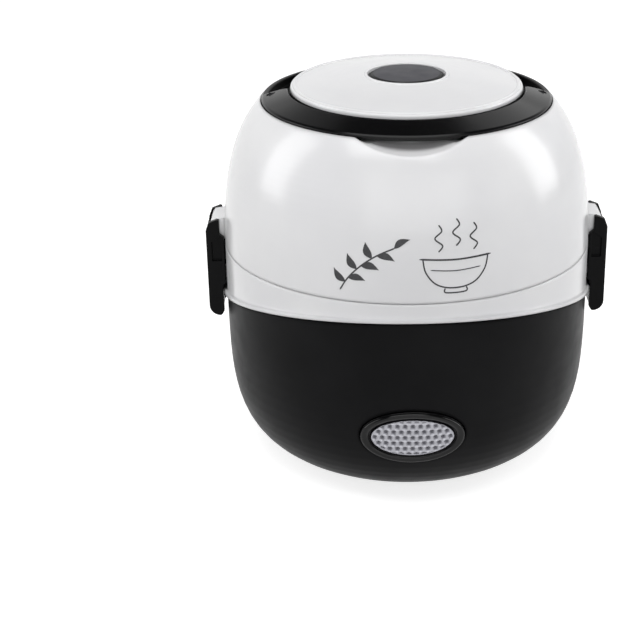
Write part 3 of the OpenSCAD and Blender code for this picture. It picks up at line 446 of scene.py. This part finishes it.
class LineDrawing:
    """A drawing to print on the casing: points, in mm round the front and up, and faces."""

    def __init__(self):
        self.spots, self.faces = [], []

    def ribbon(self, rows):
        """Faces along rows of three points; a row is its middle and the way to one side."""
        first = len(self.spots)
        for middle, half in rows:
            self.spots += [middle - half, middle, middle + half]
        for row in range(first, len(self.spots) - 3, 3):
            for at in (row, row + 1):
                self.faces.append((at, at + 3, at + 4, at + 1))

    def stroke(self, line, width):
        """A line of even width that narrows at its two ends."""
        narrow = 0.35
        rows = []
        for i, here in enumerate(line):
            run = line[min(i + 1, len(line) - 1)] - line[max(i - 1, 0)]
            side = np.array((-run[1], run[0])) / np.hypot(*run)
            share = narrow if i in (0, len(line) - 1) else 1.0
            rows.append((here, side * width * share / 2))
        self.ribbon(rows)

    def leaf(self, root, tip, width):
        """A leaf that is fullest near its root, bows to its left and ends in a point."""
        steps, thinnest = 14, 0.06
        bow, swell, taper = 0.12, 0.8, 1.1
        root, tip = np.array(root, float), np.array(tip, float)
        run = tip - root
        length = np.hypot(*run)
        side = np.array((-run[1], run[0])) / length
        rows = []
        for step in range(steps + 1):
            share = step / steps
            half = max(thinnest, width * abs(math.sin(math.pi * share**swell)) ** taper / 2)
            bend = bow * length * math.sin(math.pi * share)
            rows.append((root + run * share + side * bend, side * half))
        self.ribbon(rows)

    def closed_layer(self, proud, sunk):
        """Points and faces of a thin closed layer, from proud of the casing to sunk in it."""
        count = len(self.spots)
        points = [
            on_casing(along * MM, z * MM, layer)
            for layer in (proud, -sunk)
            for along, z in self.spots
        ]
        edges = dict.fromkeys(
            edge for face in self.faces for edge in zip(face, face[1:] + face[:1])
        )
        walls = [
            (ahead, here, here + count, ahead + count)
            for here, ahead in edges
            if (ahead, here) not in edges
        ]
        backs = [tuple(corner + count for corner in reversed(face)) for face in self.faces]
        return points, self.faces + backs + walls


# ------------------------------------------------------------------ settings


def colour_setting(name, description, default):
    """A colour that the user can pick, from its sRGB hex value."""
    return FloatVectorProperty(
        name=name,
        description=description,
        default=linear(default),
        size=4,
        min=0.0,
        max=1.0,
        subtype="COLOR",
    )


def length_setting(name, description, default):
    """A length that the user can change, in metres."""
    return FloatProperty(
        name=name, description=description, default=default, min=0.0, precision=5, unit="LENGTH"
    )


def share_setting(name, description, default):
    """A share between 0 and 1 that the user can change."""
    return FloatProperty(
        name=name, description=description, default=default, min=0.0, max=1.0, subtype="FACTOR"
    )


class LunchBoxCasing(bpy.types.PropertyGroup):
    """Colours of the mouldings, the painted shade at the vent cap's edge, and the lips on the lid's
    disc
    """

    white: colour_setting(name="White", description="Colour of lid and collar", default="#E3E3E4")
    black: colour_setting(name="Black", description="Colour of the base", default="#151516")
    gloss: colour_setting(
        name="Gloss black", description="Colour of handle, ring and clips", default="#09090A"
    )
    cap: colour_setting(name="Vent cap", description="Colour of the cap", default="#3C3C42")
    # painted shade: the near black that the cap's edge fades to, for the shadow in the gap round it
    cap_rim_shade: colour_setting(name="Cap rim", description="Colour of its edge", default="#141416")
    lip: length_setting(name="Lip", description="Height of the disc's lips", default=0.6 * MM)


class LunchBoxLens(bpy.types.PropertyGroup):
    """The patterned face of the front button, and the bezel round it"""

    half_width: length_setting(
        name="Half width", description="Half width of the lens", default=LENS_HALF_WIDTH
    )
    half_height: length_setting(
        name="Half height", description="Half height of the lens", default=LENS_HALF_HEIGHT
    )
    middle: length_setting(name="Middle", description="Height of its middle", default=LENS_Z)
    proud: length_setting(
        name="Proud", description="How far its foot stands off the casing", default=0.44 * MM
    )
    bezel_width: length_setting(
        name="Bezel width", description="Half width of the bezel", default=BEZEL_HALF_WIDTH
    )
    bezel_height: length_setting(
        name="Bezel height", description="Half height of the bezel", default=BEZEL_HALF_HEIGHT
    )
    bead_width: length_setting(
        name="Bead width", description="Width of the bezel's bead", default=3.6 * MM
    )
    bead: length_setting(
        name="Bead", description="How far the bead stands out", default=1.5 * MM
    )
    pitch: length_setting(
        name="Dimple pitch", description="Distance between dimples", default=3.3 * MM
    )
    rise: length_setting(
        name="Mesh height", description="Height of the mesh pattern", default=0.8 * MM
    )
    colour: colour_setting(name="Silver", description="Colour of the mesh", default="#9E9EA4")
    # painted shade in the dimples: the deeper the point, the nearer this colour
    dimple_shade: colour_setting(name="Dimple", description="Colour in the dimples", default="#4A4A50")


class LunchBoxPrint(bpy.types.PropertyGroup):
    """The line drawing printed on the front of the lid"""

    line: length_setting(
        name="Line width", description="Width of a printed line", default=0.62 * MM
    )
    ink: colour_setting(name="Ink", description="Colour of the ink", default="#1A1A1C")


class LunchBoxStudio(bpy.types.PropertyGroup):
    """Floor, lamps and room light"""

    floor: colour_setting(name="Floor", description="Colour of the floor", default="#CFCFCF")
    glow: share_setting(
        name="Floor glow", description="White added to the floor as seen", default=0.75
    )
    lamps: share_setting(name="Lamps", description="Strength of all lamps", default=0.95)
    world: share_setting(name="Room light", description="Light from all round", default=0.07)
    ceiling: share_setting(
        name="Ceiling", description="White of the ceiling in reflections", default=0.06
    )


# ------------------------------------------------------------------ operators


class LUNCHBOX_OT_casing(bpy.types.Operator):
    """Finish lid, collar, base and their covers, and raise the two lips of the lid's disc"""

    bl_idname = "lunchbox.casing"
    bl_label = "Casing"

    def execute(self, context):
        look = context.scene.lunch_box_casing
        shade = "#DEDEE0"
        # polished white ABS: broad, bright reflections with soft ends
        white = gloss_abs("gloss_white_abs", look.white, shade, 0.16, 0.24)
        # spark-eroded black ABS: drinks light, with one soft band down its side
        black = grained_moulding(
            "satin_black_abs", look.black, "#101011", 0.36, 0.44, shine=0.05, edge_mm=2.5
        )
        # polypropylene liner: duller and waxier than the white outside
        liner = grained_moulding("liner_polypropylene", "#E2E3E4", "#D8DADB", 0.4, 0.5, grit_mm=0.7)
        # the same white on the wide walls, where a wider rounding eases their narrow facets
        wall = gloss_abs("gloss_white_wall_abs", look.white, shade, 0.16, 0.24, edge_mm=2.0)
        dress(white, "lid_centre")
        dress(wall, "lid_shell", "base_collar")
        dress(black, "base_shell", "bottom_cover")
        dress(liner, "lid_liner")
        for name, inner, outer in (
            ("vent_lip", VENT_R, VENT_R + 1.5 * MM),
            ("disc_lip", DISC_R - 2.6 * MM, DISC_R - 0.9 * MM),
        ):
            lay_rib(
                name,
                inner,
                outer,
                sunk=0,
                height=look.lip,
                material=white,
                body="lid",
            )
        return {"FINISHED"}


class LUNCHBOX_OT_handle(bpy.types.Operator):
    """Finish handle, its ring and pins, the vent cap and the clips, and fill the gap round the cap
    with painted shade
    """

    bl_idname = "lunchbox.handle"
    bl_label = "Handle, vent and clips"

    def execute(self, context):
        look = context.scene.lunch_box_casing
        shade = "#060607"
        # polished black ABS: near black with a clear, thin highlight
        gloss = gloss_abs("gloss_black_abs", look.gloss, shade, 0.16, 0.22, shine=0.16)
        # grained polypropylene: charcoal grey with a dull bloom
        cap = grained_moulding(
            "vent_cap_polypropylene_rim_shade", look.cap, "#37373D", 0.42, 0.52, grit_mm=0.8, shine=0.35
        )
        # blackened steel: dark pins that don't stand out in the black ring
        dark_pins = plated_metal("blackened_steel_pin", "#2B2B2D", "#222224", 0.4, 0.5)
        # drawn steel wire: plain bright pins
        pins = plated_metal("drawn_steel_pin", "#B9B9BC", "#A6A6AA", 0.25, 0.35)
        # black ABS from a duller mould: deepest black, hardly any highlight
        deep = gloss_abs("deep_black_abs", look.gloss, shade, 0.2, 0.28, shine=0.06)
        dress(gloss, "carry_handle")
        dress(deep, "handle_ring", "clip_left", "clip_right")
        # painted shade: the cap fades to near black at its edge, where the gap round it lies in
        # shadow
        paint_rim_shade(cap, look.cap_rim_shade, CAP_R - 1.2 * MM, CAP_R - 0.7 * MM)
        dress(cap, "vent_cap")
        # a dark step of painted shade that fills the gap between cap and disc, where shadow falls
        lay_rib(
            "vent_gap_shade",
            inner=CAP_R - 0.2 * MM,
            outer=CAP_R + 1.2 * MM,
            sunk=1.0 * MM,
            height=0.5 * MM,
            material=cap,
            body="vent",
        )
        dress(dark_pins, "handle_pins")
        dress(pins, "clip_pins")
        return {"FINISHED"}


class LUNCHBOX_OT_button(bpy.types.Operator):
    """Finish the button and cover its lens with a mesh of staggered dimples"""

    bl_idname = "lunchbox.button"
    bl_label = "Front button"

    def execute(self, context):
        look = context.scene.lunch_box_lens
        # black ABS from the best polished mould: a crisp highlight along the bead
        gloss = gloss_abs("polished_black_abs", "#09090A", "#060607", 0.13, 0.18, shine=0.2)
        silver = lens_silver(look.colour, look.dimple_shade)
        dress(gloss, "button_bezel")
        dress(silver, "button_lens")
        self.lay_bead(look, gloss)
        self.lay_mesh(look, silver)
        return {"FINISHED"}

    def lay_bead(self, look, material):
        """The rounded front of the bezel: steep outside, easing down to the lens."""
        around, across = 128, 20
        foot, edge = 0.3 * MM, 0.5 * MM  # how far off the casing its back and its edges lie
        crest = 0.36  # share of its width at which it is highest, from the outside
        squat = 0.78  # its width above and below the lens, as a share of that beside it
        section = [(0.0, foot)]
        for step in range(across + 1):
            turn = math.pi * step / across
            reach = 1 - math.cos(turn)
            share = crest * reach if turn < math.pi / 2 else crest + (1 - crest) * (reach - 1)
            section.append((share, edge + look.bead * math.sin(turn)))
        section.append((1.0, foot))
        points = []
        for step in range(around):
            turn = math.tau * step / around
            for share, proud in section:
                inwards = look.bead_width * share
                sideways = (look.bezel_width - inwards) * math.cos(turn)
                z = look.middle + (look.bezel_height - squat * inwards) * math.sin(turn)
                radius = casing_radius(z)
                points.append(on_casing(radius * math.asin(sideways / radius), z, proud))
        # its section runs inwards, so its faces are turned to look outwards
        faces = [(a, d, c, b) for a, b, c, d in ring_faces(around, len(section))]
        make_piece("bezel_bead", points, faces, material, "base")

    def lay_mesh(self, look, material):
        """The lens's face: a middle point, rings outwards, a skirt to its foot and a flat back."""
        rings, around = 54, 224
        rim_from, rim_height = 0.955, 0.75  # a plain rim: where it starts, and its height
        fullness = 1.3  # above 1, a dimple eases in at its edge
        skirt_tone = 0.5  # the skirt and the back aren't seen
        row = look.pitch * math.sqrt(3) / 2
        hollow = look.pitch / 2
        columns = math.ceil(look.half_width / look.pitch) + 1
        rows = math.ceil(look.half_height / row) + 1
        dimples = np.array(
            [
                (look.pitch * (i + 0.5 * (j % 2)), row * j)
                for i in range(-columns, columns + 1)
                for j in range(-rows, rows + 1)
            ]
        )
        points, heights, faces = [], [], []
        for ring in range(rings + 2):
            out = min(1.0, ring / rings)
            rim = min(1.0, max(0.0, (out - rim_from) / (1 - rim_from)))
            for step in range(around if ring else 1):
                turn = math.tau * step / around
                along = look.half_width * out * math.cos(turn)
                up = look.half_height * out * math.sin(turn)
                away = np.hypot(dimples[:, 0] - along, dimples[:, 1] - up).min()
                dip = max(0.0, 1 - (away / hollow) ** 2) ** fullness
                height = (1 - dip) * (1 - rim) + rim_height * rim
                lift = look.proud + look.rise * height
                if ring > rings:
                    height, lift = skirt_tone, -look.proud
                heights.append(height)
                points.append(on_casing(along, look.middle + up, lift))
        for step in range(around):
            beside = (step + 1) % around
            faces.append((0, 1 + step, 1 + beside))
            for inner in range(1, rings * around + 1, around):
                outer = inner + around
                faces.append((inner + step, outer + step, outer + beside, inner + beside))
        faces.append(tuple(range(len(points) - 1, len(points) - 1 - around, -1)))
        face = make_piece("lens_mesh", points, faces, material, "button")
        if len(face.data.vertices) != len(heights):
            raise RuntimeError("the lens lost points, so its dimples can't be coloured")
        # the heights pick the colour: painted shade in the dimples, silver on the mesh
        tone = face.data.attributes.new("mesh_height", "FLOAT", "POINT")
        tone.data.foreach_set("value", heights)


class LUNCHBOX_OT_print(bpy.types.Operator):
    """Print a steaming bowl and a leafy sprig on the front of the lid"""

    bl_idname = "lunchbox.print"
    bl_label = "Lid print"

    def execute(self, context):
        look = context.scene.lunch_box_print
        drawing = LineDrawing()
        width = look.line / MM
        self.draw_bowl(drawing, width)
        self.draw_sprig(drawing, width)
        points, faces = drawing.closed_layer(proud=0.07 * MM, sunk=0.03 * MM)
        ink = pad_ink(look.ink)
        make_piece("lid_print", points, faces, ink, "lid", smooth=False)
        return {"FINISHED"}

    def draw_bowl(self, drawing, width):
        """A bowl with a rim, a foot, a band and three curls of steam."""
        middle, side = 18, [(14, 0), (12.8, 5.5), (9, 10.4), (3.5, 12.6)]
        left = [(middle - out, 122 - down) for out, down in side]
        right = [(middle + out, 122 - down) for out, down in reversed(side)]
        drawing.stroke(through(left + right), width)
        rim = [(2.6, 122.2), (18, 121.4), (33.4, 122.2)]
        drawing.stroke(through(rim), width * 1.2)
        foot = [(13.4, 109.2), (13.8, 107.2), (22.2, 107.2), (22.6, 109.2)]
        drawing.stroke(through(foot, 6), width)
        band = [(7.2, 117.4), (18, 116.6), (28.8, 117.4)]
        drawing.stroke(through(band), width * 0.7)
        sways = [(0, 125), (1.7, 127.6), (-1.5, 130.6), (1.3, 133.6), (0, 136.2)]
        for start, lift in ((10.5, 0.0), (18, 2.2), (25.5, 0.0)):
            drawing.stroke(through([(start + sway, z + lift) for sway, z in sways]), width)

    def draw_sprig(self, drawing, width):
        """A sprig of seven leaves that leans to the bowl."""
        stem = [(-31, 107.5), (-27.5, 113), (-22, 118.6), (-15.2, 123.4), (-7.5, 127)]
        drawing.stroke(through(stem), width)
        for root, tip, leaf_width in (
            ((-28.6, 111.2), (-33.6, 116.8), 3.0),
            ((-27.4, 113.2), (-20.0, 112.4), 3.0),
            ((-23.6, 117.2), (-27.6, 123.6), 3.2),
            ((-21.8, 118.8), (-14.2, 117.4), 3.2),
            ((-17.2, 122.2), (-19.8, 129.0), 3.2),
            ((-15.0, 123.5), (-7.6, 121.4), 3.0),
            ((-7.8, 126.8), (-1.2, 130.6), 2.8),
        ):
            drawing.leaf(root, tip, leaf_width)


class LUNCHBOX_OT_tableware(bpy.types.Operator):
    """Finish the bowl, its inner lid and the measuring cup"""

    bl_idname = "lunchbox.tableware"
    bl_label = "Bowl, inner lid and cup"

    def execute(self, context):
        dress(polished_steel(), "steel_bowl")
        # clear polypropylene, polished mould: glassy, with the odd ripple
        clear = clear_moulding(
            "clear_polypropylene", "#F2F6F7", 0.06, depth_mm=0.01, transmission=0.95
        )
        dress(clear, "measuring_cup")
        # frosted polypropylene, grained mould: milky, so what lies behind it is a blur
        frosted = clear_moulding(
            "frosted_polypropylene", "#EDF1F2", 0.3, depth_mm=0.02, transmission=0.6
        )
        dress(frosted, "bowl_lid")
        return {"FINISHED"}


class LUNCHBOX_OT_works(bpy.types.Operator):
    """Finish the heating well, heater, switch, inlet and wiring"""

    bl_idname = "lunchbox.works"
    bl_label = "Heater and switch"

    def execute(self, context):
        self.finish_heater()
        self.finish_electrics()
        self.finish_rubber()
        return {"FINISHED"}

    def finish_heater(self):
        """The well, the spreader and the heater under it, with their strap and screws."""
        # aluminium sheet spun over a former: satin, with fine rings that catch the light
        dress(spun_metal("spun_aluminium", "#C7C8CB", 0.3, 0.4, ring_mm=0.8), "heating_well")
        # aluminium plate faced on a lathe: coarser rings and a greyer shine
        dress(spun_metal("turned_aluminium", "#B4B6BA", 0.35, 0.45, ring_mm=1.2), "heat_spreader")
        # anodised tube: an even, dull grey
        case = plated_metal("anodised_heater_case", "#A8AAAE", "#9A9CA0", 0.4, 0.5)
        dress(case, "heating_element")
        # hot-dip galvanised strip: cloudy spangles, half dull and half bright
        strap = plated_metal("galvanised_strap", "#A9ABAF", "#96989C", 0.35, 0.5)
        dress(strap, "element_bracket", "fuse_clip")
        # zinc plated on rolled screws: small, bright and slightly cloudy
        screw = plated_metal("zinc_plated_screw", "#C9CACC", "#B6B8BB", 0.25, 0.35)
        dress(screw, "bracket_screws", "cover_screws", "board_screws")

    def finish_electrics(self):
        """Inlet, thermostat, fuse, switch board and lights."""
        # nickel plated on stamped brass: warm and brighter than the screws
        blades = plated_metal("nickel_plated_brass", "#CFCBBE", "#BDB8AA", 0.2, 0.3)
        dress(blades, "inlet_blades")
        # hot-pressed phenolic: brownish black with a dull, uneven skin
        phenolic = grained_moulding(
            "moulded_phenolic", "#2B2A2A", "#232222", 0.4, 0.55, grit_mm=0.6
        )
        dress(phenolic, "thermostat", "push_switch")
        # moulded nylon with glass fibres: near black and matt, with lighter flecks
        dress(grained_moulding("glass_filled_nylon", "#1C1C1E", "#242426", 0.45, 0.6), "inlet_body")
        # pressed ceramic, fired and glazed: cream with a wet shine
        dress(grained_moulding("glazed_ceramic", "#E6DFCF", "#DAD2C0", 0.15, 0.25), "thermal_fuse")
        dress(circuit_laminate(), "switch_board")
        # cast yellow epoxy: glassy beads that glow a little in light from behind
        epoxy = clear_moulding("led_epoxy", "#E6DF7A", 0.08, depth_mm=0.01, transmission=0.7)
        dress(epoxy, "indicator_leds")

    def finish_rubber(self):
        """Seals, wire covering and feet."""
        # moulded silicone: an even, soft white without a highlight
        dress(silicone_rubber("silicone_white", "#E9E9E6", "#DEDEDA"), "well_gasket", "lid_seal")
        # extruded silicone on heat-proof wire: brick red and matt
        dress(silicone_rubber("silicone_wire_red", "#A9342C", "#952C26"), "internal_wiring")
        # moulded rubber: dusty black that grips the table
        dress(silicone_rubber("rubber_black", "#29292A", "#202021"), "rubber_feet")


class LUNCHBOX_OT_studio(bpy.types.Operator):
    """Set up floor, lamps, room light and camera"""

    bl_idname = "lunchbox.studio"
    bl_label = "Studio"

    def execute(self, context):
        look = context.scene.lunch_box_studio
        self.lay_floor(look)
        self.hang_lamps(look)
        self.light_room(context, look)
        self.place_camera(context)
        context.scene.view_settings.view_transform = "Standard"
        return {"FINISHED"}

    def lay_floor(self, look):
        """A large pale disc, white to the eye and in reflections apart from the shadow on it."""
        radius, corners, below = 7, 64, 0.05 * MM
        lit_from, lit_to = 0.5, 2.2  # the lamps' light fades out from here to there
        material, tree, surface, place = start_material("studio_floor", look.floor, 0.9)
        mottle(tree, surface, place, look.floor, "#CBCBCB", size_mm=400)
        # the white that is added grows where the lamps' light fades
        away = add_node(tree, "VectorMath", {0: place}, operation="LENGTH")
        white = add_node(
            tree,
            "MapRange",
            {"Value": away.outputs["Value"]},
            {"From Min": lit_from, "From Max": lit_to, "To Min": look.glow, "To Max": 1.0},
        )
        lift = add_node(
            tree, "Math", {0: seen_directly(tree), 1: white.outputs["Result"]}, operation="MULTIPLY"
        )
        glow = add_node(tree, "Emission", {"Strength": lift.outputs[0]}, {"Color": WHITE})
        both = add_node(tree, "AddShader", {0: surface.outputs["BSDF"], 1: glow.outputs[0]})
        tree.links.new(both.outputs[0], tree.nodes["Output"].inputs["Surface"])
        turns = [math.tau * i / corners for i in range(corners)]
        rim = [(radius * math.cos(turn), radius * math.sin(turn), -below) for turn in turns]
        mesh = bpy.data.meshes.new("studio_floor")
        mesh.from_pydata(rim, [], [tuple(range(corners))])
        mesh.materials.append(material)
        floor = bpy.data.objects.new("studio_floor", mesh)
        bpy.context.scene.collection.objects.link(floor)

    def hang_lamps(self, look):
        """Large soft boxes: one above, one at each side, one low in front and two small behind."""
        # name, place, the point it faces, width and height in metres, and watts
        for name, place, aim, width, height, power in (
            ("box_above", (-0.1, -0.4, 1.3), (0, 0, 0.1), 1.2, 0.9, 12.2),
            ("box_left", (-1.05, 0.05, 0.55), (0, 0, 0.1), 0.45, 0.9, 4.5),
            ("box_right", (1.05, 0.1, 0.55), (0, 0, 0.1), 0.45, 0.9, 5.4),
            ("box_front", (0.1, -1.6, 0.7), (0, 0, 0.1), 2.0, 1.2, 11.0),
            ("box_rear_left", (-0.5, 0.8, 0.85), (0, 0, 0.15), 0.5, 0.5, 0.3),
            ("box_rear_right", (0.46, 0.8, 0.85), (0, 0, 0.15), 0.5, 0.5, 0.85),
        ):
            lamp = bpy.data.lights.new(name, "AREA")
            lamp.shape, lamp.size, lamp.size_y = "RECTANGLE", width, height
            lamp.energy = power * look.lamps
            hung = bpy.data.objects.new(name, lamp)
            hung.location = place
            hung.rotation_euler = (Vector(aim) - Vector(place)).to_track_quat("-Z", "Y").to_euler()
            bpy.context.scene.collection.objects.link(hung)

    def light_room(self, context, look):
        """A white room with a dim ceiling; on matt surfaces it sheds only a little light."""
        wall_top, ceiling_from = 0.2, 0.65  # sines of the height above the horizon
        world = bpy.data.worlds.new("studio_room")
        world.use_nodes = True
        tree = world.node_tree
        tree.nodes.clear()
        direction = add_node(tree, "TexCoord").outputs["Generated"]
        height = add_node(tree, "SeparateXYZ", {"Vector": direction})
        mirrored = add_node(
            tree,
            "MapRange",
            {"Value": height.outputs["Z"]},
            {
                "From Min": wall_top,
                "From Max": ceiling_from,
                "To Min": 1.0,
                "To Max": look.ceiling,
            },
            interpolation_type="SMOOTHSTEP",
        )
        # behind the object the room is plain white
        camera = add_node(tree, "LightPath").outputs["Is Camera Ray"]
        shown = add_node(
            tree, "Math", {0: camera, 1: mirrored.outputs["Result"]}, operation="MAXIMUM"
        )
        amount = add_node(
            tree,
            "MapRange",
            {"Value": seen_directly(tree), "To Max": shown.outputs[0]},
            {"To Min": look.world},
        )
        sky = add_node(
            tree, "Background", {"Strength": amount.outputs["Result"]}, {"Color": WHITE}
        )
        add_node(tree, "OutputWorld", {"Surface": sky.outputs[0]})
        context.scene.world = world

    def place_camera(self, context):
        """Looks down on the box from the front, with room left beside it."""
        eye = (-0.0215, -0.6644, 0.3525)
        down, to_right = math.radians(23.51), math.radians(1.85)
        camera = bpy.data.cameras.new("camera")
        camera.lens, camera.sensor_width = 88.21, 36.0
        camera.shift_x = -0.157
        stand = bpy.data.objects.new("camera", camera)
        stand.location = eye
        stand.rotation_euler = (math.pi / 2 - down, 0, -to_right)
        context.scene.collection.objects.link(stand)
        context.scene.camera = stand


class LUNCHBOX_PT_panel(bpy.types.Panel):
    """Pieces and finishes of the electric lunch box"""

    bl_label = "Electric Lunch Box"
    bl_idname = "LUNCHBOX_PT_panel"
    bl_space_type = "VIEW_3D"
    bl_region_type = "UI"
    bl_category = "Lunch Box"

    def draw(self, context):
        for made in OPERATORS:
            self.layout.operator(made.bl_idname)
        for name in SETTINGS:
            group = getattr(context.scene, name)
            box = self.layout.box()
            for field in group.__annotations__:
                box.prop(group, field)


SETTINGS = {
    "lunch_box_casing": LunchBoxCasing,
    "lunch_box_lens": LunchBoxLens,
    "lunch_box_print": LunchBoxPrint,
    "lunch_box_studio": LunchBoxStudio,
}
OPERATORS = (
    LUNCHBOX_OT_casing,
    LUNCHBOX_OT_handle,
    LUNCHBOX_OT_button,
    LUNCHBOX_OT_print,
    LUNCHBOX_OT_tableware,
    LUNCHBOX_OT_works,
    LUNCHBOX_OT_studio,
)


def register():
    for made in (*SETTINGS.values(), *OPERATORS, LUNCHBOX_PT_panel):
        bpy.utils.register_class(made)
    for name, made in SETTINGS.items():
        setattr(bpy.types.Scene, name, PointerProperty(type=made))


def unregister():
    for name in SETTINGS:
        delattr(bpy.types.Scene, name)
    for made in reversed((*SETTINGS.values(), *OPERATORS, LUNCHBOX_PT_panel)):
        bpy.utils.unregister_class(made)


def main():
    register()
    bpy.ops.lunchbox.casing()
    bpy.ops.lunchbox.handle()
    bpy.ops.lunchbox.button()
    bpy.ops.lunchbox.print()
    bpy.ops.lunchbox.tableware()
    bpy.ops.lunchbox.works()
    bpy.ops.lunchbox.studio()


if __name__ == "__main__":
    main()
